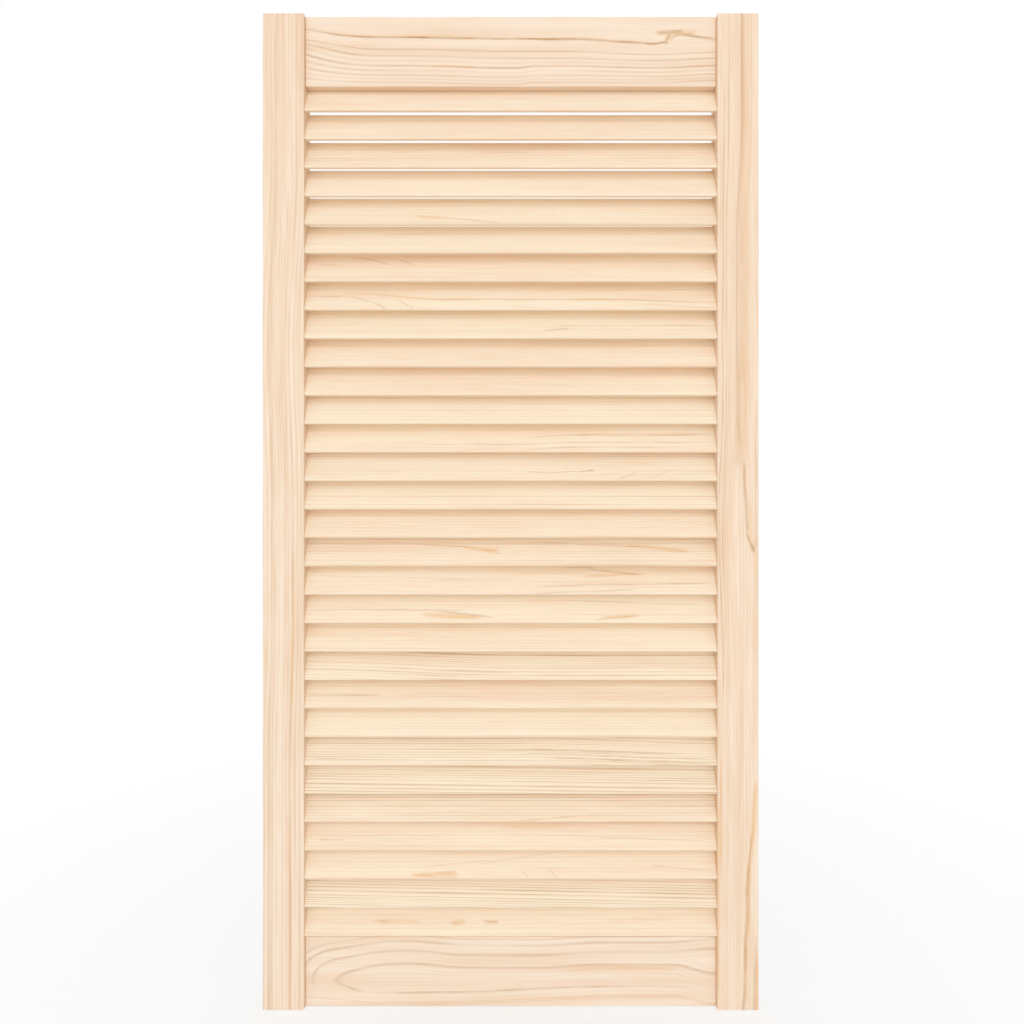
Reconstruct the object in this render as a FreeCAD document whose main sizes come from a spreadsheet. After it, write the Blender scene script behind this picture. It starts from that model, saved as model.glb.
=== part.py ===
import FreeCAD, Part
import math
import os
import Sketcher

# Fixed-louvre cabinet door in pine, millimetres.
# The origin is at the middle of the bottom edge: X runs across the door, +Y towards its back, +Z up.

DIMENSIONS = {
    "door_height": 993,
    "door_width": 494,
    "door_thick": 21,
    "stile_width": 41,
    "stile_round": 0.8,
    "stile_end_ease": 0.5,
    "rail_height": 70,
    "rail_thick": 11,
    "rail_round": 0.8,
    "rail_end_ease": 0.6,
    "rail_bevel": 3.25,
    "slat_count": 30,
    "slat_width": 36.6,
    "slat_thick": 4,
    "slat_angle": 64.8,
    "slat_lift": 4.3,
    "slot_depth": 8,
    "slot_clearance": 0.2,
    "slot_clip": 1.2,
    "dowel_diameter": 6,
    "dowel_length": 40,
    "dowel_inset": 18,
    "bore_diameter": 6.1,
    "bore_depth": 20.5,
}

# Lengths that follow from the driving dimensions, as sheet expressions
OPENING = "(Dimensions.door_width - 2 * Dimensions.stile_width)"
PITCH = "((Dimensions.door_height - 2 * Dimensions.rail_height) / Dimensions.slat_count)"
LOWEST_SLAT = f"(Dimensions.rail_height + {PITCH} / 2 + Dimensions.slat_lift)"
BOTTOM_RAIL_MIDDLE = "(Dimensions.rail_height / 2)"
TOP_RAIL_MIDDLE = "(Dimensions.door_height - Dimensions.rail_height / 2)"
DOWEL_RISE = "(Dimensions.rail_height / 2 - Dimensions.dowel_inset)"

SIDES = {"left": -1, "right": 1}
RAILS = {"bottom": BOTTOM_RAIL_MIDDLE, "top": TOP_RAIL_MIDDLE}
LEVELS = {"lower": -1, "upper": 1}

CUT_TOLERANCE = 0.02
ORIGIN_POINT = (-1, 1)
VERTICAL_AXIS = -2
CENTRE = 3

doc = FreeCAD.newDocument("louvred_door")
sheet = doc.addObject("Spreadsheet::Sheet", "Dimensions")
for row, (alias, value) in enumerate(DIMENSIONS.items(), start=1):
    sheet.set(f"A{row}", alias)
    sheet.set(f"B{row}", str(value))
    sheet.setAlias(f"B{row}", alias)
doc.recompute()


def new_body(label):
    body = doc.addObject("PartDesign::Body", label)
    body.Label = label
    return body


def origin_feature(body, role):
    return next(item for item in body.Origin.OriginFeatures if item.Role == role)


def new_sketch(body, name, plane):
    sketch = body.newObject("Sketcher::SketchObject", name)
    sketch.AttachmentSupport = [(origin_feature(body, plane), "")]
    sketch.MapMode = "FlatFace"
    return sketch


def bind(sketch, constraint, name, expression):
    # Add one dimension to a sketch and bind it to the sheet
    index = sketch.addConstraint(constraint)
    sketch.renameConstraint(index, name)
    sketch.setExpression(f"Constraints.{name}", expression)


def draw_outline(sketch, corners):
    # Closed run of straight lines through the corners
    ends = corners[1:] + corners[:1]
    for start, end in zip(corners, ends):
        sketch.addGeometry(Part.LineSegment(FreeCAD.Vector(*start, 0), FreeCAD.Vector(*end, 0)))
    last = len(corners)
    for line in range(last):
        sketch.addConstraint(Sketcher.Constraint("Coincident", line, 2, (line + 1) % last, 1))


def draw_rectangle(sketch, width, height, width_cell, height_cell):
    # Rectangle about the sketch origin
    x, y = width / 2, height / 2
    draw_outline(sketch, [(-x, -y), (x, -y), (x, y), (-x, y)])
    for level_line in (0, 2):
        sketch.addConstraint(Sketcher.Constraint("Horizontal", level_line))
    for plumb_line in (1, 3):
        sketch.addConstraint(Sketcher.Constraint("Vertical", plumb_line))
    sketch.addConstraint(Sketcher.Constraint("Symmetric", 0, 1, 1, 2, *ORIGIN_POINT))
    bind(sketch, Sketcher.Constraint("DistanceX", 0, 1, 0, 2, width), "across", width_cell)
    bind(sketch, Sketcher.Constraint("DistanceY", 1, 1, 1, 2, height), "along", height_cell)


def draw_bevelled_rail(sketch):
    # Rail section with its lower back edge planed off parallel to the slats, clear of the top slat
    x, y = DIMENSIONS["rail_thick"] / 2, DIMENSIONS["rail_height"] / 2
    bevel = DIMENSIONS["rail_bevel"]
    rise = bevel * math.tan(math.radians(DIMENSIONS["slat_angle"]))
    draw_outline(sketch, [(-x, -y), (x - bevel, -y), (x, rise - y), (x, y), (-x, y)])
    for level_line in (0, 3):
        sketch.addConstraint(Sketcher.Constraint("Horizontal", level_line))
    for plumb_line in (2, 4):
        sketch.addConstraint(Sketcher.Constraint("Vertical", plumb_line))
    sketch.addConstraint(Sketcher.Constraint("Symmetric", 0, 1, 2, 2, *ORIGIN_POINT))
    bind(sketch, Sketcher.Constraint("DistanceX", 3, 2, 3, 1, 2 * x), "across", "Dimensions.rail_thick")
    bind(sketch, Sketcher.Constraint("DistanceY", 4, 2, 4, 1, 2 * y), "along", "Dimensions.rail_height")
    bind(sketch, Sketcher.Constraint("DistanceX", 1, 1, 1, 2, bevel), "bevel", "Dimensions.rail_bevel")
    tilt = Sketcher.Constraint("Angle", 1, math.radians(DIMENSIONS["slat_angle"]))
    bind(sketch, tilt, "tilt", "Dimensions.slat_angle * 1 deg")


def draw_slat_section(sketch):
    # Bull-nosed section about the sketch origin, rising towards the back at the slat angle
    angle = math.radians(DIMENSIONS["slat_angle"])
    radius = DIMENSIONS["slat_thick"] / 2
    span = DIMENSIONS["slat_width"] - DIMENSIONS["slat_thick"]
    along = FreeCAD.Vector(math.cos(angle), math.sin(angle), 0)
    square = FreeCAD.Vector(-math.sin(angle), math.cos(angle), 0)
    front, back = along * (-span / 2), along * (span / 2)
    normal = FreeCAD.Vector(0, 0, 1)
    quarter = math.pi / 2
    upper = sketch.addGeometry(Part.LineSegment(front + square * radius, back + square * radius))
    lower = sketch.addGeometry(Part.LineSegment(back - square * radius, front - square * radius))
    front_circle = Part.Circle(front, normal, radius)
    nose = sketch.addGeometry(Part.ArcOfCircle(front_circle, angle + quarter, angle + 3 * quarter))
    back_circle = Part.Circle(back, normal, radius)
    heel = sketch.addGeometry(Part.ArcOfCircle(back_circle, angle - quarter, angle + quarter))
    for join in ((upper, 1, nose, 1), (nose, 2, lower, 2), (lower, 1, heel, 1), (heel, 2, upper, 2)):
        sketch.addConstraint(Sketcher.Constraint("Tangent", *join))
    sketch.addConstraint(Sketcher.Constraint("Equal", nose, heel))
    sketch.addConstraint(Sketcher.Constraint("Symmetric", nose, CENTRE, heel, CENTRE, *ORIGIN_POINT))
    bind(sketch, Sketcher.Constraint("Angle", upper, angle), "tilt", "Dimensions.slat_angle * 1 deg")
    bind(sketch, Sketcher.Constraint("Radius", nose, radius), "edge_radius", "Dimensions.slat_thick / 2")
    bind(sketch, Sketcher.Constraint("Distance", nose, CENTRE, heel, CENTRE, span), "span",
         "Dimensions.slat_width - Dimensions.slat_thick")


def draw_slot_section(sketch):
    # Close round the slat's section: its flats and edges plus the clearance, corners clipped at 45 degrees
    tilt = DIMENSIONS["slat_angle"]
    angle = math.radians(tilt)
    half_width = (DIMENSIONS["slat_width"] + DIMENSIONS["slot_clearance"]) / 2
    half_thick = (DIMENSIONS["slat_thick"] + DIMENSIONS["slot_clearance"]) / 2
    clip = DIMENSIONS["slot_clip"]
    flat, end = half_width - clip, half_thick - clip
    half_turn = [(-flat, half_thick), (flat, half_thick), (half_width, end), (half_width, -end)]
    outline = half_turn + [(-along, -square) for along, square in half_turn]
    draw_outline(sketch, [(along * math.cos(angle) - square * math.sin(angle),
                           along * math.sin(angle) + square * math.cos(angle)) for along, square in outline])
    upper, upper_clip, heel, lower_clip = range(len(half_turn))
    for line in range(len(half_turn)):
        opposite = line + len(half_turn)
        sketch.addConstraint(Sketcher.Constraint("Symmetric", line, 1, opposite, 1, *ORIGIN_POINT))
    sketch.addConstraint(Sketcher.Constraint("Perpendicular", upper, heel))
    sketch.addConstraint(Sketcher.Constraint("Equal", upper_clip, lower_clip))
    slopes = ((upper, "tilt", 0), (upper_clip, "clip_tilt", 45), (lower_clip, "under_tilt", 135))
    for line, name, turn in slopes:
        slope = Sketcher.Constraint("Angle", line, math.radians(tilt - turn))
        bind(sketch, slope, name, f"(Dimensions.slat_angle - {turn}) * 1 deg")
    bind(sketch, Sketcher.Constraint("Distance", upper_clip, clip * math.sqrt(2)), "clip",
         "Dimensions.slot_clip * sqrt(2)")
    bind(sketch, Sketcher.Constraint("Distance", *ORIGIN_POINT, upper, half_thick), "half_thick",
         "(Dimensions.slat_thick + Dimensions.slot_clearance) / 2")
    bind(sketch, Sketcher.Constraint("Distance", *ORIGIN_POINT, heel, half_width), "half_width",
         "(Dimensions.slat_width + Dimensions.slot_clearance) / 2")


def draw_bores(sketch, heights):
    # One circle on the sketch's upright axis at each height
    radius = DIMENSIONS["bore_diameter"] / 2
    for number, (rough_height, expression) in enumerate(heights):
        centre = FreeCAD.Vector(0, rough_height, 0)
        circle = sketch.addGeometry(Part.Circle(centre, FreeCAD.Vector(0, 0, 1), radius))
        sketch.addConstraint(Sketcher.Constraint("PointOnObject", circle, CENTRE, VERTICAL_AXIS))
        height = Sketcher.Constraint("DistanceY", *ORIGIN_POINT, circle, CENTRE, rough_height)
        bind(sketch, height, f"height_{number}", expression)
        bind(sketch, Sketcher.Constraint("Diameter", circle, 2 * radius), f"bore_{number}",
             "Dimensions.bore_diameter")


def pad(body, sketch, length, side_type="One side"):
    feature = body.newObject("PartDesign::Pad", f"{sketch.Name}_pad")
    feature.Profile = sketch
    feature.SideType = side_type
    feature.setExpression("Length", length)
    doc.recompute()
    return feature


def pocket(body, sketch, depth, towards_plus_x):
    feature = body.newObject("PartDesign::Pocket", f"{sketch.Name}_pocket")
    feature.Profile = sketch
    feature.Reversed = towards_plus_x
    feature.setExpression("Length", depth)
    doc.recompute()
    return feature


def edges_along(shape, direction, keep=lambda edge: True):
    # Names of the straight edges parallel to a direction, optionally only some of them
    names = []
    for number, edge in enumerate(shape.Edges, start=1):
        straight = isinstance(edge.Curve, Part.Line)
        if straight and abs(edge.Curve.Direction.dot(direction)) > 0.999 and keep(edge):
            names.append(f"Edge{number}")
    return names


def round_edges(body, base, names, radius):
    feature = body.newObject("PartDesign::Fillet", f"{body.Name}_round")
    feature.Base = (base, names)
    feature.setExpression("Radius", radius)
    doc.recompute()
    return feature


def ease_ends(body, base, direction, size):
    # Small chamfer round both end faces of a board that lies along a direction
    feature = body.newObject("PartDesign::Chamfer", f"{body.Name}_ends")
    ends = []
    for number, face in enumerate(base.Shape.Faces, start=1):
        flat = isinstance(face.Surface, Part.Plane)
        if flat and abs(face.Surface.Axis.dot(direction)) > 0.999:
            ends.append(f"Face{number}")
    feature.Base = (base, ends)
    feature.setExpression("Size", size)
    doc.recompute()
    return feature


def check_cut(before, after, expected):
    # A cut that points away from the solid removes nothing and raises no error
    removed = before.Shape.Volume - after.Shape.Volume
    if abs(removed - expected) > CUT_TOLERANCE * expected:
        raise RuntimeError(f"{after.Name} removed {removed:.0f} mm3, not {expected:.0f} mm3")


def slot_volume():
    width = DIMENSIONS["slat_width"] + DIMENSIONS["slot_clearance"]
    thick = DIMENSIONS["slat_thick"] + DIMENSIONS["slot_clearance"]
    return (width * thick - 2 * DIMENSIONS["slot_clip"] ** 2) * DIMENSIONS["slot_depth"]


def bore_volume():
    return math.pi * (DIMENSIONS["bore_diameter"] / 2) ** 2 * DIMENSIONS["bore_depth"]


def make_stile(side):
    # Full-height upright: rounded long edges, inclined blind slots and dowel bores in its inner edge
    body = new_body(f"{side}_stile")
    body.setExpression("Placement.Base.x",
                       f"{SIDES[side]} * (Dimensions.door_width - Dimensions.stile_width) / 2")
    section = new_sketch(body, f"{side}_stile_section", "XY_Plane")
    draw_rectangle(section, DIMENSIONS["stile_width"], DIMENSIONS["door_thick"],
                   "Dimensions.stile_width", "Dimensions.door_thick")
    blank = pad(body, section, "Dimensions.door_height")
    upright = FreeCAD.Vector(0, 0, 1)
    rounded = round_edges(body, blank, edges_along(blank.Shape, upright), "Dimensions.stile_round")
    eased = ease_ends(body, rounded, upright, "Dimensions.stile_end_ease")

    inner = -SIDES[side]
    into_stile_is_plus_x = inner < 0
    inner_face = f"{inner} * Dimensions.stile_width / 2"
    slot_sketch = new_sketch(body, f"{side}_slot", "YZ_Plane")
    slot_sketch.setExpression("AttachmentOffset.Base.y", LOWEST_SLAT)
    slot_sketch.setExpression("AttachmentOffset.Base.z", inner_face)
    draw_slot_section(slot_sketch)
    slot = pocket(body, slot_sketch, "Dimensions.slot_depth", into_stile_is_plus_x)
    check_cut(eased, slot, slot_volume())

    slots = body.newObject("PartDesign::LinearPattern", f"{side}_slots")
    slots.Originals = [slot]
    slots.Direction = (origin_feature(body, "Z_Axis"), [""])
    slots.setExpression("Length", f"{PITCH} * (Dimensions.slat_count - 1)")
    slots.setExpression("Occurrences", "Dimensions.slat_count")
    body.Tip = slots
    doc.recompute()
    check_cut(eased, slots, slot_volume() * DIMENSIONS["slat_count"])

    inset = DIMENSIONS["dowel_inset"]
    upper_inset = DIMENSIONS["rail_height"] - inset
    door_height = DIMENSIONS["door_height"]
    bore_sketch = new_sketch(body, f"{side}_stile_bores", "YZ_Plane")
    bore_sketch.setExpression("AttachmentOffset.Base.z", inner_face)
    draw_bores(bore_sketch, [
        (inset, f"{BOTTOM_RAIL_MIDDLE} - {DOWEL_RISE}"),
        (upper_inset, f"{BOTTOM_RAIL_MIDDLE} + {DOWEL_RISE}"),
        (door_height - upper_inset, f"{TOP_RAIL_MIDDLE} - {DOWEL_RISE}"),
        (door_height - inset, f"{TOP_RAIL_MIDDLE} + {DOWEL_RISE}"),
    ])
    bores = pocket(body, bore_sketch, "Dimensions.bore_depth", into_stile_is_plus_x)
    body.Tip = bores
    check_cut(slots, bores, bore_volume() * len(RAILS) * len(LEVELS))
    return body


def make_rail(name, middle):
    # Cross rail between the stiles, thinner than they are, bored for two dowels at each end
    body = new_body(f"{name}_rail")
    body.setExpression("Placement.Base.z", middle)
    section = new_sketch(body, f"{name}_rail_section", "YZ_Plane")
    if name == "top":
        draw_bevelled_rail(section)
    else:
        draw_rectangle(section, DIMENSIONS["rail_thick"], DIMENSIONS["rail_height"],
                       "Dimensions.rail_thick", "Dimensions.rail_height")
    blank = pad(body, section, OPENING, "Symmetric")
    level = FreeCAD.Vector(1, 0, 0)
    face_depth = 0.999 * DIMENSIONS["rail_thick"] / 2
    # The bevel's lower edge stays sharp, because the top slat lies close along it
    face_edges = edges_along(blank.Shape, level, lambda edge: abs(edge.CenterOfMass.y) > face_depth)
    rounded = round_edges(body, blank, face_edges, "Dimensions.rail_round")
    eased = ease_ends(body, rounded, level, "Dimensions.rail_end_ease")

    rise = DIMENSIONS["rail_height"] / 2 - DIMENSIONS["dowel_inset"]
    bore_sketch = new_sketch(body, f"{name}_rail_bores", "YZ_Plane")
    bore_sketch.setExpression("AttachmentOffset.Base.z", f"{OPENING} / 2")
    draw_bores(bore_sketch, [(-rise, f"-{DOWEL_RISE}"), (rise, DOWEL_RISE)])
    right_bores = pocket(body, bore_sketch, "Dimensions.bore_depth", False)
    check_cut(eased, right_bores, bore_volume() * len(LEVELS))

    all_bores = body.newObject("PartDesign::Mirrored", f"{name}_rail_mirrored_bores")
    all_bores.Originals = [right_bores]
    all_bores.MirrorPlane = (origin_feature(body, "YZ_Plane"), [""])
    body.Tip = all_bores
    doc.recompute()
    check_cut(eased, all_bores, bore_volume() * len(LEVELS) * len(SIDES))
    return body


def make_slat(number):
    # Bull-nosed slat reaching to the floor of the slots; slat 1 is the top one
    body = new_body(f"slat_{number:02d}")
    body.setExpression("Placement.Base.z",
                       f"{LOWEST_SLAT} + {PITCH} * (Dimensions.slat_count - {number})")
    section = new_sketch(body, f"slat_{number:02d}_section", "YZ_Plane")
    draw_slat_section(section)
    pad(body, section, f"{OPENING} + 2 * Dimensions.slot_depth", "Symmetric")
    return body


def make_dowel(rail, side, level):
    # Round dowel lying along X, half in the rail and half in the stile
    dowel = doc.addObject("Part::Cylinder", f"dowel_{rail}_{side}_{level}")
    dowel.Label = f"dowel_{rail}_{side}_{level}"
    dowel.setExpression("Radius", "Dimensions.dowel_diameter / 2")
    dowel.setExpression("Height", "Dimensions.dowel_length")
    dowel.Placement.Rotation = FreeCAD.Rotation(FreeCAD.Vector(0, 1, 0), 90)
    dowel.setExpression("Placement.Base.x", f"{SIDES[side]} * {OPENING} / 2 - Dimensions.dowel_length / 2")
    dowel.setExpression("Placement.Base.z", f"{RAILS[rail]} + {LEVELS[level]} * {DOWEL_RISE}")
    return dowel


def check_document(pieces):
    for item in doc.Objects:
        if "Invalid" in item.State or "Error" in item.State:
            raise RuntimeError(f"{item.Label} failed: {item.State}")
    for piece in pieces:
        if piece.Shape.isNull() or not piece.Shape.isValid() or len(piece.Shape.Solids) != 1:
            raise RuntimeError(f"{piece.Label} is not one valid solid")


sub_parts = [make_stile(side) for side in SIDES]
sub_parts += [make_rail(name, middle) for name, middle in RAILS.items()]
sub_parts += [make_slat(number) for number in range(1, DIMENSIONS["slat_count"] + 1)]
sub_parts += [make_dowel(rail, side, level) for rail in RAILS for side in SIDES for level in LEVELS]
doc.recompute()
check_document(sub_parts)

os.makedirs("parts", exist_ok=True)
for sub_part in sub_parts:
    sub_part.Shape.exportStep(f"parts/{sub_part.Label}.step")
print(f"{len(sub_parts)} sub-parts written")
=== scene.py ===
import math

import bpy
import numpy as np
from mathutils import Euler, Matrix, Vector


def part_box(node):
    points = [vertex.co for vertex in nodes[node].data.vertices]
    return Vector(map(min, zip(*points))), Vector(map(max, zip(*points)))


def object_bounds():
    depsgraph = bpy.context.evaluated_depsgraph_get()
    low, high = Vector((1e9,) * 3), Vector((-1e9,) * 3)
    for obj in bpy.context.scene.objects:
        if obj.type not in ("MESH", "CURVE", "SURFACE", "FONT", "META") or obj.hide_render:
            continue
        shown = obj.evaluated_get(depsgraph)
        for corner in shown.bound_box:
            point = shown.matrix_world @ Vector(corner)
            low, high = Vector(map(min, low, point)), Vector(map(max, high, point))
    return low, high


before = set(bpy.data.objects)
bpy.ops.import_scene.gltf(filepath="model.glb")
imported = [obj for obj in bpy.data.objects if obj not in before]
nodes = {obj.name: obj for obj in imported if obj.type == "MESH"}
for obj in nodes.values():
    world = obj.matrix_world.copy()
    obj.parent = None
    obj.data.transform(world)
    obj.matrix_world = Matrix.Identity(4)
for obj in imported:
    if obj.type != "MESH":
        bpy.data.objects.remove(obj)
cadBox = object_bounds()
print("frame loaded:", len(nodes), "nodes")

toMm = 1000.0  # Object coordinates are metres, every pattern below is sized in millimetres
colourA, colourB, colourOut = 6, 7, 2  # sockets of a Mix node that mixes colours


def hexToLinear(code):
    # sRGB hex to linear RGBA
    values = [int(code[i:i + 2], 16) / 255 for i in (1, 3, 5)]
    return [v / 12.92 if v <= 0.04045 else ((v + 0.055) / 1.055) ** 2.4 for v in values] + [1.0]


def addNode(tree, kind, links=None, out=0, **settings):
    # one node with its settings; links gives each input a value or another node's output
    node = tree.nodes.new(kind)
    for name, value in settings.items():
        setattr(node, name, value)
    for key, value in (links or {}).items():
        if isinstance(value, bpy.types.NodeSocket):
            tree.links.new(value, node.inputs[key])
        else:
            node.inputs[key].default_value = value
    return node.outputs[out] if node.outputs else node


def newMaterial(name):
    material = bpy.data.materials.new(name)
    material.use_nodes = True
    material.node_tree.nodes.clear()
    return material, material.node_tree


def dress(nodeName, material):
    slots = nodes[nodeName].data.materials
    slots.clear()
    slots.append(material)


# each kind of board: the turn that brings its length to X, its width to Y and its thickness to Z, its width
# and where its front lies through the thickness
boardKinds = {
    "rail": {"turn": (-90.0, 0.0, 0.0), "width": 70.0, "front": 5.5},
    "stile": {"turn": (90.0, 0.0, 90.0), "width": 41.0, "front": -10.5},
    "slat": {"turn": (-64.8, 0.0, 0.0), "width": 36.6, "front": 2.0},
}

# planed pine with no finish: pale cream earlywood, thin tan latewood lines, fine streaks of fibre and a
# dull satin face
pine = {
    "early": {"rail": "#FFEEDA", "stile": "#FFECD6", "slat": "#FFEED3"},
    "blush": {"rail": "#F2D3B4", "stile": "#F1D1B1", "slat": "#F8D9BB"},
    "late": "#C49866", "resin": "#EFBC80",
    "blushSwing": 0.25,  # how far broad bands go to either side of a board's own blush
    "palerReach": 500.0,  # how far from its middle a board is palest and pinkest
    "fibreBlush": {"rail": 0.25, "stile": 0.45, "slat": 0.55}, "fibreDepth": 0.05,  # pinker, darker streaks
    # how dark the painted shade along one edge is on each kind of board
    "edgeShadeTone": {"rail": 0.22, "stile": 0.3, "slat": 0.42},
    "edgeStart": 0.985,  # share of the half width at which the painted edge shade begins
    "slant": 0.6, "endSlant": 4.0,  # how far lines move over on the way in, and how much more marks' ends do
    "yearTone": ((0.4, 0.1), (0.65, 0.4), (0.82, 1.0)),  # through one ring: a slow rise and a sharp end
    "unevenRings": 1.2, "unevenPace": 0.3,  # how far rings crowd, in rings, and how soon that changes
    "waverGain": 2.0,  # noise seldom leaves the middle half of its range
    "lineDrift": (0.4, 1.15), "markPatch": (0.5, 1.1),  # weakest and strongest along a line or a mark
    "markLift": 0.5,  # how far marks stray across the board
    "earlyRoughness": 0.62, "lateRoughness": 0.5, "ior": 1.5, "bumpHeight": 0.15, "bumpStrength": 0.3,
}
# noise drawn out along the grain: length and width, detail, and which way it shifts with a board's seed
grainNoise = {
    "waver": {"size": (260.0, 60.0), "detail": 1.0, "shift": (1, 1, 1)},
    "drift": {"size": (100.0, 5.0), "detail": 1.0, "shift": (-1, 1, 0)},
    "ragged": {"size": (34.0, 4.0), "detail": 2.0, "shift": (1, 1, -1)},
    "mottle": {"size": (240.0, 11.0), "detail": 1.0, "shift": (1, -1, 1)},
    "fibre": {"size": (45.0, 1.0), "detail": 2.0, "shift": (-1, 1, 1)},  # coarser than real, so that it shows
}
seedStep = 3.7  # how far one board's noise lies from the next one's
# the part of a noise's range that is used: the narrower, the harder the pattern
softPart = {"From Min": 0.25, "From Max": 0.75}
middlePart = {"From Min": 0.3, "From Max": 0.7}
hardPart = {"From Min": 0.35, "From Max": 0.65}

# a board's own figure, all in millimetres; each piece below gives what differs
plainFigure = {
    "seed": 0, "waver": 0.5, "lean": 0.0, "blush": 0.3,
    "paler": 0.0,  # paler towards the left end or the foot
    "pith": (90.0, 25.0), "ring": 2.8, "contrast": 0.2, "faintest": 0.3,  # rings about a pith off the board
    "lines": [], "span": (-40.0, 40.0),  # single lines: place, strength, softness below and above
    "fade": None,  # where along the board the lines begin and are full
    "arch": None, "archLines": [],  # lines nested about a tip and open at the bottom
    "bends": [],  # lines lifted: start, end, lift, and where across the lift is none and full
    "edge": 0,  # which side is painted a tone darker, 1 or -1 across the board: painted shade for the seam by a stile, the underside of the top rail and each slat's lower nose
    "strokes": [], "streaks": [],  # dark latewood and orange resin; size is half a mark's length and width
}


def boardPlace(tree, nodeName, kind):
    # millimetres along, across and through a board, from its centre
    turn = Euler([math.radians(v) for v in boardKinds[kind]["turn"]])
    low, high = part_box(nodeName)
    centre = turn.to_matrix() @ ((low + high) / 2 * toMm)
    place = addNode(tree, "ShaderNodeTexCoord", out="Object")
    board = addNode(tree, "ShaderNodeMapping", {
        "Vector": place, "Location": -centre, "Rotation": turn, "Scale": (toMm,) * 3})
    split = addNode(tree, "ShaderNodeSeparateXYZ", {0: board}).node.outputs
    # lines run into the board at a slant, so its sides and back show others
    front = boardKinds[kind]["front"]
    slant = math.copysign(pine["slant"], front)
    sunk = addNode(tree, "ShaderNodeMath", {
        0: split["Z"], 1: -slant, 2: slant * front}, operation="MULTIPLY_ADD")
    return {"board": board, "along": split["X"], "across": split["Y"], "deep": split["Z"], "sunk": sunk}


def alongGrain(tree, figure, at, name, out=0):
    # noise drawn out along the board, shifted so that no two boards match
    noise = grainNoise[name]
    length, width = noise["size"]
    place = addNode(tree, "ShaderNodeMapping", {
        "Vector": at["board"], "Location": [way * figure["seed"] * seedStep for way in noise["shift"]],
        "Scale": (1 / length, 1 / width, 1 / width)})
    return addNode(tree, "ShaderNodeTexNoise", {
        "Vector": place, "Scale": 1.0, "Detail": noise["detail"]}, out=out)


def grainLine(tree, figure, at):
    # where a point lies among the lines: its place across the board, less what lifts the lines there, moved
    # over by the slant
    waver = alongGrain(tree, figure, at, "waver")
    swing = pine["waverGain"] * figure["waver"]
    waver = addNode(tree, "ShaderNodeMapRange", {"Value": waver, "To Min": -swing, "To Max": swing})
    lift = addNode(tree, "ShaderNodeMath", {
        0: at["along"], 1: figure["lean"], 2: waver}, operation="MULTIPLY_ADD")
    for start, end, height, *reach in figure["bends"]:
        rise = addNode(tree, "ShaderNodeMapRange", {
            "Value": at["along"], "From Min": start, "From Max": end, "To Max": height},
            interpolation_type="SMOOTHSTEP")
        if reach:
            share = addNode(tree, "ShaderNodeMapRange", {
                "Value": at["across"], "From Min": reach[0], "From Max": reach[1]})
            rise = addNode(tree, "ShaderNodeMath", {0: rise, 1: share}, operation="MULTIPLY")
        lift = addNode(tree, "ShaderNodeMath", {0: lift, 1: rise}, operation="ADD")
    line = addNode(tree, "ShaderNodeMath", {0: at["across"], 1: lift}, operation="SUBTRACT")
    return addNode(tree, "ShaderNodeMath", {0: line, 1: at["sunk"]}, operation="ADD")


def archRadius(tree, arch, at):
    # distance from a pith that dives away from the tip on an exponential; side narrows the lower half
    off = addNode(tree, "ShaderNodeMath", {0: at["line"], 1: arch["axis"]}, operation="SUBTRACT")
    other = addNode(tree, "ShaderNodeMath", {0: off, 1: -arch["side"]}, operation="MULTIPLY")
    off = addNode(tree, "ShaderNodeMath", {0: off, 1: other}, operation="MAXIMUM")
    dive = addNode(tree, "ShaderNodeMath", {
        0: at["along"], 1: -1 / arch["length"], 2: arch["tip"] / arch["length"]}, operation="MULTIPLY_ADD")
    dive = addNode(tree, "ShaderNodeMath", {0: dive}, operation="EXPONENT")
    below = addNode(tree, "ShaderNodeMath", {0: dive, 1: arch["depth"]}, operation="MULTIPLY")
    section = addNode(tree, "ShaderNodeCombineXYZ", {"X": off, "Y": below})
    return addNode(tree, "ShaderNodeVectorMath", {0: section}, out="Value", operation="LENGTH")


def singleLines(tree, lines, span, place, fade, way):
    # a ramp over the span with one peak for each line, none to full where fade says
    low, high = span
    share = addNode(tree, "ShaderNodeMapRange", {"Value": place, "From Min": low, "From Max": high})
    ramp = addNode(tree, "ShaderNodeValToRGB", {"Fac": share})
    steps = ramp.node.color_ramp.elements
    steps[1].color = steps[0].color
    for where, strength, below, above in lines:
        for offset, level in ((-below, 0.0), (0.0, strength), (above, 0.0)):
            step = steps.new((where + offset - low) / (high - low))
            step.color = (level, level, level, 1)
    if not fade:
        return ramp
    share = addNode(tree, "ShaderNodeMapRange", {"Value": way, "From Min": fade[0], "From Max": fade[1]})
    return addNode(tree, "ShaderNodeMath", {0: ramp, 1: share}, operation="MULTIPLY")


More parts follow.
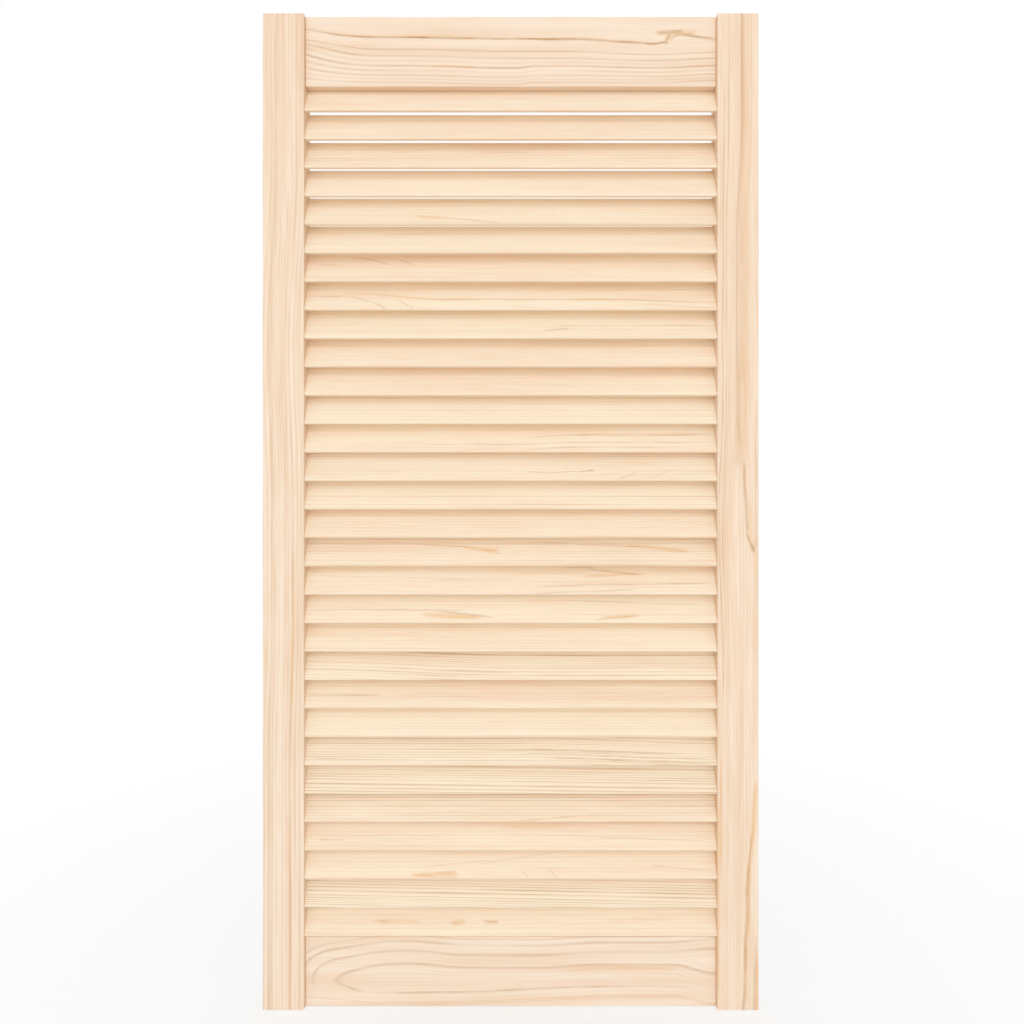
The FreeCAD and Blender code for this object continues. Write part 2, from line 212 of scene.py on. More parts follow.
def evenRings(tree, figure, at):
    # one latewood line a ring about the pith, each ring with a width and strength of its own
    off = addNode(tree, "ShaderNodeMath", {0: at["line"], 1: figure["pith"][0]}, operation="SUBTRACT")
    below = addNode(tree, "ShaderNodeMath", {0: at["deep"], 1: figure["pith"][1]}, operation="ADD")
    section = addNode(tree, "ShaderNodeCombineXYZ", {"X": off, "Y": below})
    radius = addNode(tree, "ShaderNodeVectorMath", {0: section}, out="Value", operation="LENGTH")
    uneven = addNode(tree, "ShaderNodeTexNoise", {
        "W": radius, "Scale": pine["unevenPace"] / figure["ring"], "Detail": 0.0}, noise_dimensions="1D")
    phase = addNode(tree, "ShaderNodeMath", {
        0: radius, 1: 1 / figure["ring"], 2: figure["seed"]}, operation="MULTIPLY_ADD")
    phase = addNode(tree, "ShaderNodeMath", {
        0: uneven, 1: pine["unevenRings"], 2: phase}, operation="MULTIPLY_ADD")
    number = addNode(tree, "ShaderNodeMath", {0: phase}, operation="FLOOR")
    weight = addNode(tree, "ShaderNodeTexWhiteNoise", {"W": number}, noise_dimensions="1D")
    weight = addNode(tree, "ShaderNodeMapRange", {
        "Value": weight, "To Min": figure["faintest"] * figure["contrast"], "To Max": figure["contrast"]})
    season = addNode(tree, "ShaderNodeMath", {0: phase}, operation="FRACT")
    ramp = addNode(tree, "ShaderNodeValToRGB", {"Fac": season})
    steps = ramp.node.color_ramp.elements
    steps[1].color = steps[0].color
    for place, level in pine["yearTone"]:
        steps.new(place).color = (level, level, level, 1)
    return addNode(tree, "ShaderNodeMath", {0: ramp, 1: weight}, operation="MULTIPLY")


def latewood(tree, figure, at):
    # rings, then single lines and an arch on boards that have them
    tone = evenRings(tree, figure, at)
    if figure["lines"]:
        single = singleLines(tree, figure["lines"], figure["span"], at["line"], figure["fade"], at["along"])
        tone = addNode(tree, "ShaderNodeMath", {0: tone, 1: single}, operation="MAXIMUM")
    if figure["arch"]:
        arch = figure["arch"]
        radius = archRadius(tree, arch, at)
        single = singleLines(tree, figure["archLines"], arch["span"], radius, arch["open"], at["across"])
        tone = addNode(tree, "ShaderNodeMath", {0: tone, 1: single}, operation="MAXIMUM")
    # a line is stronger here and fainter there along its length
    weak, strong = pine["lineDrift"]
    drift = alongGrain(tree, figure, at, "drift")
    drift = addNode(tree, "ShaderNodeMapRange", {
        "Value": drift, **middlePart, "To Min": weak, "To Max": strong})
    return addNode(tree, "ShaderNodeMath", {0: tone, 1: drift}, operation="MULTIPLY")


def softOvals(tree, marks, place):
    # soft ovals, the darkest where they cross; sag droops the ends, tip is the left end's share of the width
    total = None
    for mark in marks:
        length, width = mark["size"]
        own = addNode(tree, "ShaderNodeMapping", {
            "Vector": place, "Location": (*mark["at"], 0.0),
            "Rotation": (0.0, 0.0, math.radians(mark.get("turn", 0.0))),
            "Scale": (length, width, 1.0)}, vector_type="TEXTURE")
        split = addNode(tree, "ShaderNodeSeparateXYZ", {0: own}).node.outputs
        square = addNode(tree, "ShaderNodeMath", {0: split["X"], 1: split["X"]}, operation="MULTIPLY")
        off = addNode(tree, "ShaderNodeMath", {
            0: square, 1: mark.get("sag", 0.0) / width, 2: split["Y"]}, operation="MULTIPLY_ADD")
        if "tip" in mark:
            half = addNode(tree, "ShaderNodeMapRange", {
                "Value": split["X"], "From Min": -1.0, "To Min": mark["tip"]})
            off = addNode(tree, "ShaderNodeMath", {0: off, 1: half}, operation="DIVIDE")
        blunt = addNode(tree, "ShaderNodeMath", {0: square, 1: square}, operation="MULTIPLY")
        away = addNode(tree, "ShaderNodeCombineXYZ", {"X": blunt, "Y": off})
        away = addNode(tree, "ShaderNodeVectorMath", {0: away}, out="Value", operation="LENGTH")
        level = addNode(tree, "ShaderNodeMapRange", {
            "Value": away, "From Min": 1.0, "From Max": 0.0, "To Max": mark["depth"]},
            interpolation_type="SMOOTHSTEP")
        total = level if total is None else addNode(
            tree, "ShaderNodeMath", {0: total, 1: level}, operation="MAXIMUM")
    return total


def brokenMarks(tree, figure, at):
    # strokes and streaks, which wander and break up along the fibre
    ragged = alongGrain(tree, figure, at, "ragged", out="Color")
    ragged = addNode(tree, "ShaderNodeSeparateColor", {0: ragged}).node.outputs
    wander = addNode(tree, "ShaderNodeMapRange", {
        "Value": ragged["Red"], **middlePart, "To Min": -pine["markLift"], "To Max": pine["markLift"]})
    wander = addNode(tree, "ShaderNodeMath", {0: at["line"], 1: wander}, operation="ADD")
    ends = addNode(tree, "ShaderNodeMath", {
        0: at["sunk"], 1: pine["endSlant"], 2: at["along"]}, operation="MULTIPLY_ADD")
    bent = addNode(tree, "ShaderNodeCombineXYZ", {"X": ends, "Y": wander})
    weak, strong = pine["markPatch"]
    patchy = addNode(tree, "ShaderNodeMapRange", {
        "Value": ragged["Green"], **hardPart, "To Min": weak, "To Max": strong})
    tones = []
    for marks in (figure["strokes"], figure["streaks"]):
        tone = softOvals(tree, marks, bent)
        if tone:
            tone = addNode(tree, "ShaderNodeMath", {0: tone, 1: patchy}, operation="MULTIPLY")
        tones.append(tone)
    return tones


def earlywood(tree, figure, at, kind, fibre):
    # broad bands of pinker wood, with finer ones from the fibre
    swing = pine["blushSwing"]
    bands = alongGrain(tree, figure, at, "mottle")
    bands = addNode(tree, "ShaderNodeMapRange", {
        "Value": bands, **middlePart, "To Min": figure["blush"] - swing, "To Max": figure["blush"] + swing})
    if figure["paler"]:
        tone = addNode(tree, "ShaderNodeMapRange", {
            "Value": at["along"], "From Min": -pine["palerReach"], "From Max": pine["palerReach"],
            "To Min": -figure["paler"], "To Max": figure["paler"]})
        bands = addNode(tree, "ShaderNodeMath", {0: bands, 1: tone}, operation="ADD")
    tint = pine["fibreBlush"][kind]
    tint = addNode(tree, "ShaderNodeMapRange", {
        "Value": fibre, **softPart, "To Min": -tint, "To Max": tint})
    bands = addNode(tree, "ShaderNodeMath", {0: bands, 1: tint}, operation="ADD")
    early, blush = hexToLinear(pine["early"][kind]), hexToLinear(pine["blush"][kind])
    return addNode(tree, "ShaderNodeMix", {
        "Factor": bands, colourA: early, colourB: blush}, out=colourOut, data_type="RGBA")


def pineBoard(nodeName, kind, ownFigure):
    figure = {**plainFigure, **ownFigure}
    material, tree = newMaterial("planed_pine_" + nodeName)
    at = boardPlace(tree, nodeName, kind)
    at["line"] = grainLine(tree, figure, at)
    late = latewood(tree, figure, at)
    strokes, streaks = brokenMarks(tree, figure, at)
    if strokes:
        late = addNode(tree, "ShaderNodeMath", {0: late, 1: strokes}, operation="MAXIMUM")
    # painted shade: a darker tone along one edge stands in for the shade in the seam beside a stile, under
    # the top rail and under each slat's nose
    if figure["edge"]:
        edge = figure["edge"] * boardKinds[kind]["width"] / 2
        paintedEdgeShade = addNode(tree, "ShaderNodeMapRange", {
            "Value": at["across"], "From Min": pine["edgeStart"] * edge, "From Max": edge,
            "To Max": pine["edgeShadeTone"][kind]})
        late = addNode(tree, "ShaderNodeMath", {0: late, 1: paintedEdgeShade}, operation="MAXIMUM")

    fibre = alongGrain(tree, figure, at, "fibre")
    colour = earlywood(tree, figure, at, kind, fibre)
    for share, name in ((streaks, "resin"), (late, "late")):
        if share:
            colour = addNode(tree, "ShaderNodeMix", {
                "Factor": share, colourA: colour, colourB: hexToLinear(pine[name])},
                out=colourOut, data_type="RGBA")
    shade = addNode(tree, "ShaderNodeMapRange", {
        "Value": fibre, **softPart, "To Min": 1 - pine["fibreDepth"], "To Max": 1.0})
    colour = addNode(tree, "ShaderNodeVectorMath", {0: colour, 1: shade}, operation="MULTIPLY")

    rough = addNode(tree, "ShaderNodeMapRange", {
        "Value": late, "To Min": pine["earlyRoughness"], "To Max": pine["lateRoughness"]})
    height = addNode(tree, "ShaderNodeMath", {0: late, 1: fibre}, operation="ADD")
    bump = addNode(tree, "ShaderNodeBump", {
        "Height": height, "Strength": pine["bumpStrength"], "Distance": pine["bumpHeight"] / toMm})
    shader = addNode(tree, "ShaderNodeBsdfPrincipled", {
        "Base Color": colour, "Roughness": rough, "IOR": pine["ior"], "Normal": bump})
    addNode(tree, "ShaderNodeOutputMaterial", {"Surface": shader})
    dress(nodeName, material)


# top rail: a strong line under a plain band, broken by a small knot at the right; all lines swept up at
# the left end
topRail = {
    "seed": 1, "waver": 0.6, "blush": 0.5, "contrast": 0.16, "ring": 2.7, "edge": -1,
    "lines": [
        (1.7, 0.6, 0.8, 2.2), (-5.0, 0.6, 0.8, 2.0), (-9.8, 0.25, 0.8, 1.6), (-14.9, 0.7, 0.9, 2.2),
        (-19.4, 0.42, 0.8, 1.6), (-24.2, 0.48, 0.8, 1.8), (-27.8, 0.3, 0.8, 1.4), (-31.2, 0.5, 0.8, 1.6)],
    "bends": [
        (-135.0, -300.0, 33.0, -40.0, 2.0), (-135.0, -300.0, -12.0, 4.0, 16.0),
        (-100.0, 0.0, -1.8), (4.0, 26.0, 2.0, -8.0, -14.0),
        (60.0, 145.0, -3.4, -38.0, 4.0), (150.0, 205.0, 2.6, 8.0, -2.0)],
    "strokes": [
        {"at": (-30.0, 14.2), "size": (206.0, 1.9), "depth": 0.95},
        {"at": (146.0, 14.0), "size": (14.0, 1.9), "turn": 5.0, "sag": -1.2, "depth": 0.85},
        {"at": (157.0, 18.2), "size": (6.6, 2.8), "turn": 68.0, "sag": 1.0, "depth": 0.75},
        {"at": (160.0, 25.2), "size": (15.0, 2.9), "turn": 2.0, "depth": 0.9},
        {"at": (172.0, 22.6), "size": (13.0, 1.8), "turn": 8.0, "sag": 1.2, "depth": 0.5},
        {"at": (190.0, 20.0), "size": (24.0, 2.4), "turn": -9.0, "sag": 0.8, "depth": 0.75}],
    "streaks": [
        {"at": (-40.0, 15.8), "size": (196.0, 2.4), "depth": 0.4},
        {"at": (165.0, 24.4), "size": (23.0, 4.0), "depth": 0.75},
        {"at": (159.0, 19.4), "size": (5.0, 5.0), "depth": 0.6},
        {"at": (-58.0, -14.4), "size": (26.0, 1.6), "depth": 0.8}],
}
# bottom rail: a cathedral opening to the right, a tan zone in its mouth
bottomRail = {
    "seed": 2, "waver": 0.8, "blush": 0.32, "contrast": 0.24, "ring": 3.0,
    "arch": {
        "axis": -10.0, "side": 1.3, "depth": 14.0, "tip": -175.0, "length": 38.0,
        "span": (-6.0, 74.0), "open": (-17.0, -9.0)},
    "archLines": [
        (14.0, 0.55, 2.6, 1.3), (26.5, 0.5, 2.6, 1.3), (36.0, 0.5, 2.6, 1.3), (42.0, 0.35, 2.0, 1.0)],
    "bends": [
        (-175.0, -115.0, 4.5, -14.0, 6.0), (-105.0, -45.0, -4.5, -14.0, 6.0),
        (20.0, 90.0, 3.5, -14.0, 0.0), (160.0, 205.0, -8.0, 14.0, 4.0), (150.0, 206.0, 4.0, 12.0, 20.0),
        (-70.0, 120.0, 7.5, -8.0, -16.0)],
    "strokes": [
        {"at": (20.0, -20.8), "size": (185.0, 2.2), "depth": 0.55},
        {"at": (-160.0, -16.8), "size": (18.0, 2.0), "turn": -20.0, "sag": -2.0, "depth": 0.45},
        {"at": (-165.0, -29.0), "size": (48.0, 0.9), "turn": -5.0, "depth": 0.35},
        {"at": (60.0, -33.0), "size": (250.0, 0.9), "depth": 0.3}],
    "streaks": [
        {"at": (112.0, 0.4), "size": (64.0, 3.4), "depth": 0.6},
        {"at": (30.0, -31.0), "size": (230.0, 2.4), "depth": 0.25}],
}
# left stile: close straight lines that drift a little and grow stronger towards the foot
leftStile = {
    "seed": 3, "waver": 0.8, "blush": 0.42, "paler": 0.2, "contrast": 0.42, "ring": 3.4, "edge": 1,
    "pith": (-160.0, 60.0),
    "lines": [
        (22.8, 0.4, 0.8, 1.8), (18.8, 0.3, 0.8, 1.6), (13.2, 0.6, 0.9, 2.4), (9.6, 0.25, 0.8, 1.6),
        (5.8, 0.35, 0.8, 1.6), (-0.2, 0.4, 0.8, 1.8), (-4.2, 0.45, 0.8, 1.6), (-7.8, 0.5, 0.8, 1.6),
        (-12.2, 0.45, 0.8, 1.8)],
    "fade": (1400.0, -420.0),
    "bends": [(340.0, 170.0, -8.0), (165.0, 25.0, 4.0), (-120.0, -240.0, -3.0)],
    "strokes": [{"at": (452.0, -8.0), "size": (32.0, 1.0), "depth": 0.55}],
    "streaks": [
        {"at": (-400.0, 12.6), "size": (110.0, 3.4), "depth": 0.4},
        {"at": (-120.0, 13.8), "size": (90.0, 2.6), "depth": 0.5}],
}
# right stile: a long tan tongue that ends in a V at mid height, a second one from the foot
rightStile = {
    "seed": 4, "waver": 0.5, "blush": 0.53, "paler": 0.13, "contrast": 0.34, "ring": 3.0, "edge": -1,
    "lines": [(3.1, 0.58, 0.8, 4.0)],
    "fade": (34.0, 90.0),
    "bends": [
        (385.0, 270.0, -5.0, -20.0, -4.0),
        (110.0, 0.0, -5.0, 2.0, -6.0), (-20.0, -150.0, 5.0, 2.0, -6.0)],
    "strokes": [
        {"at": (180.0, 10.0), "size": (160.0, 9.0), "depth": 0.16},
        {"at": (110.0, 5.6), "size": (75.0, 3.6), "depth": 0.46},
        {"at": (14.0, 12.2), "size": (42.0, 2.6), "turn": -2.4, "depth": 0.85},
        {"at": (-31.0, 16.8), "size": (12.0, 2.6), "turn": -21.0, "depth": 0.8},
        {"at": (-33.0, 21.4), "size": (9.0, 1.8), "turn": 10.0, "depth": 0.35},
        {"at": (40.0, 22.6), "size": (80.0, 1.4), "turn": 0.5, "depth": 0.4},
        {"at": (170.0, -9.0), "size": (330.0, 1.2), "depth": 0.5},
        {"at": (110.0, -13.6), "size": (370.0, 1.3), "depth": 0.55},
        {"at": (-100.0, -6.0), "size": (300.0, 1.1), "depth": 0.35},
        {"at": (-348.0, 16.0), "size": (28.0, 1.2), "turn": 5.3, "sag": -0.6, "depth": 0.65},
        {"at": (-440.0, 12.4), "size": (84.0, 2.8), "turn": 1.8, "depth": 0.62},
        {"at": (-478.0, 21.4), "size": (62.0, 2.6), "turn": 1.5, "depth": 0.45}],
    "streaks": [
        {"at": (180.0, 11.0), "size": (170.0, 9.0), "depth": 0.28},
        {"at": (95.0, 7.6), "size": (58.0, 5.0), "depth": 0.4},
        {"at": (430.0, 9.0), "size": (150.0, 8.0), "depth": 0.2},
        {"at": (430.0, 4.2), "size": (70.0, 2.4), "depth": 0.4},
        {"at": (-90.0, -4.0), "size": (110.0, 13.0), "depth": 0.16},
        {"at": (-385.0, -19.2), "size": (112.0, 1.7), "depth": 0.8},
        {"at": (-12.0, 16.6), "size": (24.0, 4.0), "depth": 0.4},
        {"at": (-310.0, 20.2), "size": (46.0, 3.8), "turn": 4.0, "depth": 0.7},
        {"at": (-412.0, 14.2), "size": (85.0, 3.6), "turn": 2.0, "depth": 0.65},
        {"at": (-480.0, 23.8), "size": (50.0, 3.2), "turn": 2.0, "depth": 0.7},
        {"at": (-300.0, -17.0), "size": (60.0, 1.8), "depth": 0.85}],
}
for name, kind, figure in (
        ("top_rail", "rail", topRail), ("bottom_rail", "rail", bottomRail),
        ("left_stile", "stile", leftStile), ("right_stile", "stile", rightStile)):
    pineBoard(name, kind, figure)
print("rails and stiles dressed")

# slats: quiet boards from many planks, drawn at random within these ranges
slats = {
    "count": 30, "drawSeed": 30, "topSeed": 11, "edge": -1,
    "pithAside": (60.0, 160.0), "pithBelow": (15.0, 60.0),
    "ring": (2.2, 3.2), "contrast": (0.24, 0.36), "waver": (0.15, 0.5), "blush": (0.25, 0.5),
}
# each slat's own figure by number from the top, in place of what is drawn
slatFigure = {
    1: {"contrast": 0.2, "blush": 0.45},
    2: {"contrast": 0.32, "blush": 0.34},
    3: {"contrast": 0.54, "blush": 0.38, "strokes": [
        {"at": (-5.0, 2.4), "size": (32.0, 1.0), "depth": 0.35},
        {"at": (-8.0, -1.0), "size": (42.0, 1.0), "depth": 0.25}]},
    4: {"contrast": 0.16, "blush": 0.25},
    5: {"contrast": 0.4, "blush": 0.24, "strokes": [
        {"at": (-36.0, -14.0), "size": (32.0, 1.3), "turn": -7.0, "depth": 0.5},
        {"at": (15.0, -5.5), "size": (6.0, 1.1), "turn": -30.0, "depth": 0.3},
        {"at": (46.0, -6.5), "size": (7.0, 1.1), "turn": -25.0, "depth": 0.35}],
        "streaks": [{"at": (-78.0, -9.4), "size": (20.0, 2.6), "turn": -3.0, "depth": 0.7}]},
    6: {"ring": 2.3, "contrast": 0.32, "waver": 0.15, "blush": 0.25},
    7: {"contrast": 0.2, "blush": 0.5, "strokes": [
        {"at": (-142.0, 9.6), "size": (22.0, 1.5), "turn": -14.0, "sag": 2.5, "depth": 0.6},
        {"at": (-104.0, 6.0), "size": (10.0, 1.4), "turn": -26.0, "sag": 1.0, "depth": 0.5},
        {"at": (-184.0, 2.8), "size": (13.0, 1.3), "depth": 0.4}]},
    8: {"contrast": 0.22, "bends": [(-62.0, -165.0, 9.0), (110.0, 200.0, -3.2)], "streaks": [
        {"at": (40.0, -5.6), "size": (230.0, 2.2), "depth": 0.42}], "strokes": [
        {"at": (40.0, -6.0), "size": (225.0, 1.5), "depth": 0.35},
        {"at": (170.0, -12.0), "size": (60.0, 1.5), "turn": -1.0, "depth": 0.3},
        {"at": (-140.0, -16.5), "size": (26.0, 1.8), "turn": -20.0, "sag": 3.0, "depth": 0.45},
        {"at": (-103.0, -16.5), "size": (12.0, 1.7), "turn": -28.0, "depth": 0.4},
        {"at": (-190.0, -11.0), "size": (26.0, 1.3), "depth": 0.5},
        {"at": (165.0, 10.0), "size": (45.0, 1.3), "depth": 0.3}]},
    9: {"contrast": 0.42, "blush": 0.18, "bends": [(60.0, 20.0, -2.0)], "strokes": [
        {"at": (46.0, -7.6), "size": (15.0, 1.8), "turn": 3.0, "depth": 0.7},
        {"at": (130.0, -3.0), "size": (100.0, 1.5), "depth": 0.5},
        {"at": (-60.0, -6.6), "size": (80.0, 1.1), "depth": 0.3}]},
    10: {"contrast": 0.22, "blush": 0.45},
    11: {"ring": 2.4, "contrast": 0.26, "waver": 0.15, "blush": 0.42},
    12: {"ring": 2.5, "contrast": 0.52, "waver": 0.15, "blush": 0.0},
    13: {"contrast": 0.2, "bends": [(60.0, 18.0, -2.4)], "strokes": [
        {"at": (118.0, 1.3), "size": (105.0, 1.5), "depth": 0.52},
        {"at": (55.0, -7.4), "size": (175.0, 1.4), "depth": 0.45},
        {"at": (95.0, -13.2), "size": (90.0, 1.4), "depth": 0.4}]},
    14: {"contrast": 0.5, "blush": 0.18, "strokes": [
        {"at": (42.0, -9.2), "size": (32.0, 1.1), "sag": -2.2, "depth": 0.5},
        {"at": (76.0, -7.8), "size": (10.0, 1.4), "turn": 8.0, "depth": 0.65},
        {"at": (118.0, -12.8), "size": (14.0, 1.3), "turn": 24.0, "sag": -1.5, "depth": 0.45},
        {"at": (150.0, -11.0), "size": (14.0, 1.3), "turn": 22.0, "depth": 0.4}]},
    15: {"ring": 3.0, "contrast": 0.55, "waver": 0.12, "blush": 0.2},
    16: {"contrast": 0.36, "blush": 0.45},
    17: {"contrast": 0.46, "blush": 0.34, "strokes": [
        {"at": (-78.0, 4.2), "size": (56.0, 1.4), "turn": -3.0, "depth": 0.55},
        {"at": (78.0, 4.6), "size": (62.0, 1.4), "turn": -3.0, "depth": 0.55},
        {"at": (-10.0, -5.2), "size": (6.0, 1.0), "depth": 0.35}],
        "streaks": [
            {"at": (-30.0, -0.6), "size": (21.0, 5.6), "turn": -7.0, "tip": 0.32, "depth": 0.75},
            {"at": (148.0, 0.4), "size": (34.0, 4.4), "turn": -6.0, "tip": 0.52, "depth": 0.75}]},
    18: {"contrast": 0.2, "blush": 0.35, "strokes": [
        {"at": (60.0, 10.6), "size": (28.0, 1.6), "turn": -2.0, "depth": 0.45},
        {"at": (104.0, 5.4), "size": (33.0, 2.1), "turn": -6.0, "depth": 0.6},
        {"at": (-120.0, -0.4), "size": (90.0, 1.1), "turn": -1.2, "depth": 0.35},
        {"at": (-35.0, -3.0), "size": (45.0, 1.1), "depth": 0.35},
        {"at": (115.0, -7.6), "size": (98.0, 1.5), "turn": 1.0, "sag": 1.2, "depth": 0.5},
        {"at": (75.0, -15.0), "size": (58.0, 1.4), "turn": 2.0, "depth": 0.4}],
        "streaks": [{"at": (104.0, 2.4), "size": (34.0, 2.6), "turn": 2.5, "depth": 0.65}]},
    19: {"contrast": 0.26, "blush": 0.14, "strokes": [
        {"at": (-125.0, -4.4), "size": (88.0, 1.4), "sag": 1.2, "depth": 0.5},
        {"at": (-48.0, -8.8), "size": (36.0, 2.1), "turn": -7.0, "depth": 0.48},
        {"at": (106.0, -13.0), "size": (26.0, 1.2), "turn": 6.0, "depth": 0.35},
        {"at": (110.0, 3.0), "size": (95.0, 1.4), "turn": -2.0, "depth": 0.4}],
        "streaks": [
            {"at": (-60.0, -11.2), "size": (34.0, 3.8), "turn": -3.0, "depth": 0.65},
            {"at": (109.0, -12.0), "size": (23.0, 2.8), "turn": 4.0, "depth": 0.5}]},
    20: {"ring": 2.4, "contrast": 0.4, "waver": 0.2, "blush": 0.32},
    21: {"ring": 2.9, "contrast": 0.85, "blush": 0.12, "bends": [(10.0, -214.0, 6.5)], "strokes": [
        {"at": (-60.0, -10.6), "size": (75.0, 1.5), "depth": 0.6},
        {"at": (-85.0, -16.0), "size": (42.0, 1.4), "depth": 0.5}]},
    22: {"ring": 2.5, "contrast": 0.44, "blush": 0.5, "strokes": [
        {"at": (-167.0, -5.5), "size": (40.0, 1.3), "depth": 0.75}],
        "streaks": [{"at": (-104.0, -5.5), "size": (10.0, 1.6), "depth": 0.35}]},
    23: {"ring": 2.3, "contrast": 0.5, "waver": 0.15, "blush": 0.0},
    24: {"ring": 2.6, "contrast": 0.95, "faintest": 0.4, "blush": 0.05, "bends": [(20.0, 210.0, -5.0)],
        "strokes": [
            {"at": (80.0, -3.4), "size": (125.0, 1.5), "depth": 0.7},
            {"at": (110.0, -7.6), "size": (105.0, 1.3), "depth": 0.65},
            {"at": (125.0, -11.4), "size": (95.0, 1.3), "depth": 0.65},
            {"at": (-150.0, -12.6), "size": (60.0, 1.2), "depth": 0.5}]},
    25: {"ring": 2.64, "contrast": 0.8, "faintest": 0.65, "lean": -0.012, "waver": 0.2, "blush": 0.0},
    26: {"ring": 2.6, "contrast": 0.82, "blush": 0.44, "strokes": [
        {"at": (45.0, -14.0), "size": (52.0, 1.3), "turn": 4.5, "depth": 0.45}]},
    27: {"contrast": 0.34, "blush": 0.36, "strokes": [
        {"at": (140.0, -7.4), "size": (65.0, 1.1), "turn": -1.5, "depth": 0.4},
        {"at": (-180.0, -8.0), "size": (15.0, 1.1), "depth": 0.45}],
        "streaks": [{"at": (25.0, 3.8), "size": (38.0, 2.2), "depth": 0.35}]},
    28: {"contrast": 0.26, "blush": 0.26, "strokes": [
        {"at": (-40.0, -3.0), "size": (60.0, 1.1), "turn": 5.0, "depth": 0.25},
        {"at": (15.0, 2.0), "size": (55.0, 1.1), "turn": 8.0, "depth": 0.28},
        {"at": (14.0, -13.0), "size": (6.0, 1.1), "turn": -40.0, "depth": 0.35},
        {"at": (42.0, -13.0), "size": (8.0, 1.1), "turn": -45.0, "depth": 0.45},
        {"at": (172.0, -8.0), "size": (35.0, 1.1), "turn": -4.0, "depth": 0.35}],
        "streaks": [{"at": (-76.0, -14.0), "size": (26.0, 6.0), "turn": 1.0, "tip": 0.32, "depth": 0.75}]},
    29: {"ring": 2.6, "contrast": 0.95, "faintest": 0.65, "lean": -0.018, "waver": 0.2, "blush": 0.0},
    30: {"contrast": 0.24, "blush": 0.28, "strokes": [
        {"at": (-21.0, -5.2), "size": (9.0, 2.4), "turn": -6.0, "depth": 0.38},
        {"at": (-132.0, -4.6), "size": (8.0, 2.2), "depth": 0.25},
        {"at": (-96.0, -5.5), "size": (8.0, 2.2), "depth": 0.28},
        {"at": (-54.0, -5.4), "size": (9.0, 2.4), "turn": 8.0, "depth": 0.34}],
        "streaks": [
            {"at": (-112.0, -5.2), "size": (22.0, 3.4), "depth": 0.5},
            {"at": (-52.0, -6.2), "size": (8.0, 4.2), "depth": 0.55},
            {"at": (-19.0, -6.0), "size": (8.0, 3.6), "depth": 0.5},
            {"at": (130.0, -4.0), "size": (40.0, 3.0), "depth": 0.3}]},
}


def dressSlats():
    draw = np.random.RandomState(slats["drawSeed"])
    for number in range(1, slats["count"] + 1):
        side = draw.choice((-1.0, 1.0))
        pith = (side * draw.uniform(*slats["pithAside"]), draw.uniform(*slats["pithBelow"]))
        figure = {"seed": slats["topSeed"] + number - 1, "pith": pith, "edge": slats["edge"]}
        for name in ("ring", "contrast", "waver", "blush"):
            figure[name] = draw.uniform(*slats[name])
        figure.update(slatFigure[number])
        pineBoard(f"slat_{number:02d}", "slat", figure)


dressSlats()
print("slats dressed")

# turned beech dowels: pinkish tan with short dark flecks along the grain
beech = {
    "base": "#E2BC95", "fleck": "#B98A60", "roughness": 0.5,
    "fleckLength": 3.0, "fleckWidth": 0.35, "fleckPart": (0.58, 0.75),
}


def beechDowel():
    material, tree = newMaterial("turned_beech")
    length, width = toMm / beech["fleckLength"], toMm / beech["fleckWidth"]
    place = addNode(tree, "ShaderNodeTexCoord", out="Object")
    flecks = addNode(tree, "ShaderNodeMapping", {"Vector": place, "Scale": (length, width, width)})
    flecks = addNode(tree, "ShaderNodeTexNoise", {"Vector": flecks, "Scale": 1.0, "Detail": 1.0})
    low, high = beech["fleckPart"]
    flecks = addNode(tree, "ShaderNodeMapRange", {"Value": flecks, "From Min": low, "From Max": high})
    colour = addNode(tree, "ShaderNodeMix", {
        "Factor": flecks, colourA: hexToLinear(beech["base"]), colourB: hexToLinear(beech["fleck"])},
        out=colourOut, data_type="RGBA")
    shader = addNode(tree, "ShaderNodeBsdfPrincipled", {
        "Base Color": colour, "Roughness": beech["roughness"]})
    addNode(tree, "ShaderNodeOutputMaterial", {"Surface": shader})
    return material


turnedBeech = beechDowel()
for name in nodes:
    if name.startswith("dowel"):
        dress(name, turnedBeech)
print("dowels dressed")

# studio, in metres: white floor and room, one large soft lamp high in front and a low one that lifts the
# shade between the slats
studio = {
    "white": "#FFFFFF", "roomStrength": 0.85,
    "floorSize": 40.0, "floorColour": "#F4F4F4",
    "floorFade": (0.0, 0.9), "floorWhite": (0.55, 1.0),  # from the door outwards, the floor's share of white
}
lamps = {
    "key_softbox": {"distance": 8.0, "height": 6.3, "size": 2.0, "level": 0.088},
    "front_fill": {"distance": 2.5, "height": 0.5, "size": 1.6, "level": 0.145},
}


def seenDirectly(tree):
    # 1 for what the camera, a gloss or a glass looks at, 0 for the light that falls on the door
    path = addNode(tree, "ShaderNodeLightPath").node.outputs
    seen = addNode(tree, "ShaderNodeMath", {
        0: path["Is Camera Ray"], 1: path["Is Glossy Ray"]}, operation="MAXIMUM")
    return addNode(tree, "ShaderNodeMath", {0: seen, 1: path["Is Transmission Ray"]}, operation="MAXIMUM")


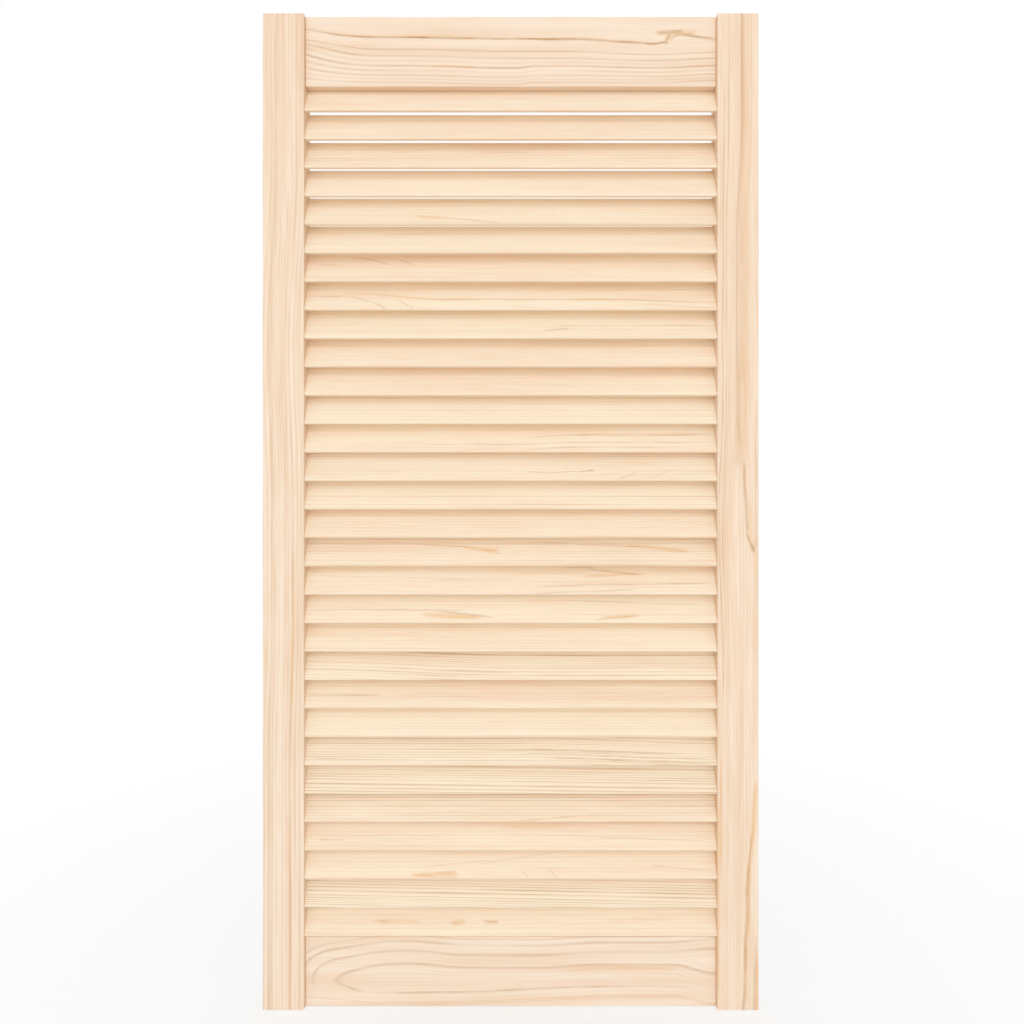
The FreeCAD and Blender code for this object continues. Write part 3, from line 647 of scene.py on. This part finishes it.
def makeFloor():
    half = studio["floorSize"] / 2
    corners = [(-half, -half, 0), (half, -half, 0), (half, half, 0), (-half, half, 0)]
    mesh = bpy.data.meshes.new("studio_floor")
    mesh.from_pydata(corners, [], [(0, 1, 2, 3)])
    floor = bpy.data.objects.new("studio_floor", mesh)
    bpy.context.scene.collection.objects.link(floor)
    material, tree = newMaterial("white_studio_floor")
    # pure white away from the door, with the door's shadow kept near it
    place = addNode(tree, "ShaderNodeTexCoord", out="Object")
    away = addNode(tree, "ShaderNodeVectorMath", {0: place}, out="Value", operation="LENGTH")
    white = addNode(tree, "ShaderNodeMapRange", {
        "Value": away, "From Min": studio["floorFade"][0], "From Max": studio["floorFade"][1],
        "To Min": studio["floorWhite"][0], "To Max": studio["floorWhite"][1]})
    share = addNode(tree, "ShaderNodeMath", {0: seenDirectly(tree), 1: white}, operation="MULTIPLY")
    diffuse = addNode(tree, "ShaderNodeBsdfDiffuse", {"Color": hexToLinear(studio["floorColour"])})
    glow = addNode(tree, "ShaderNodeEmission", {"Color": hexToLinear(studio["white"]), "Strength": 1.0})
    mix = addNode(tree, "ShaderNodeMixShader", {0: share, 1: diffuse, 2: glow})
    addNode(tree, "ShaderNodeOutputMaterial", {"Surface": mix})
    mesh.materials.append(material)


def makeLamps():
    aim = (cadBox[0] + cadBox[1]) / 2
    for name, lamp in lamps.items():
        light = bpy.data.lights.new(name, "AREA")
        light.shape = "SQUARE"
        light.size = lamp["size"]
        holder = bpy.data.objects.new(name, light)
        holder.location = (0, -lamp["distance"], lamp["height"])
        reach = aim - holder.location
        # level 1 alone renders a facing colour as written
        light.energy = lamp["level"] * (math.pi * reach.length) ** 2
        holder.rotation_euler = reach.to_track_quat("-Z", "Y").to_euler()
        bpy.context.scene.collection.objects.link(holder)


def makeRoom():
    world = bpy.data.worlds.new("white_room")
    world.use_nodes = True
    tree = world.node_tree
    tree.nodes.clear()
    white = hexToLinear(studio["white"])
    room = addNode(tree, "ShaderNodeBackground", {"Color": white, "Strength": studio["roomStrength"]})
    backdrop = addNode(tree, "ShaderNodeBackground", {"Color": white, "Strength": 1.0})
    mix = addNode(tree, "ShaderNodeMixShader", {0: seenDirectly(tree), 1: room, 2: backdrop})
    addNode(tree, "ShaderNodeOutputWorld", {"Surface": mix})
    bpy.context.scene.world = world


# camera: square on, at the door's mid height; lens and sensor in millimetres, the rest in metres
view = {"lens": 23.34, "sensor": 36.0, "distance": 0.661, "x": 0.0013, "z": 0.4961}


def makeCamera():
    data = bpy.data.cameras.new("camera")
    data.sensor_width = view["sensor"]
    data.lens = view["lens"]
    camera = bpy.data.objects.new("camera", data)
    camera.location = (view["x"], cadBox[0].y - view["distance"], view["z"])
    camera.rotation_euler = (math.radians(90), 0, 0)
    bpy.context.scene.collection.objects.link(camera)
    bpy.context.scene.camera = camera


makeFloor()
makeLamps()
makeRoom()
makeCamera()
bpy.context.scene.view_settings.view_transform = "Standard"
print("studio and camera set")
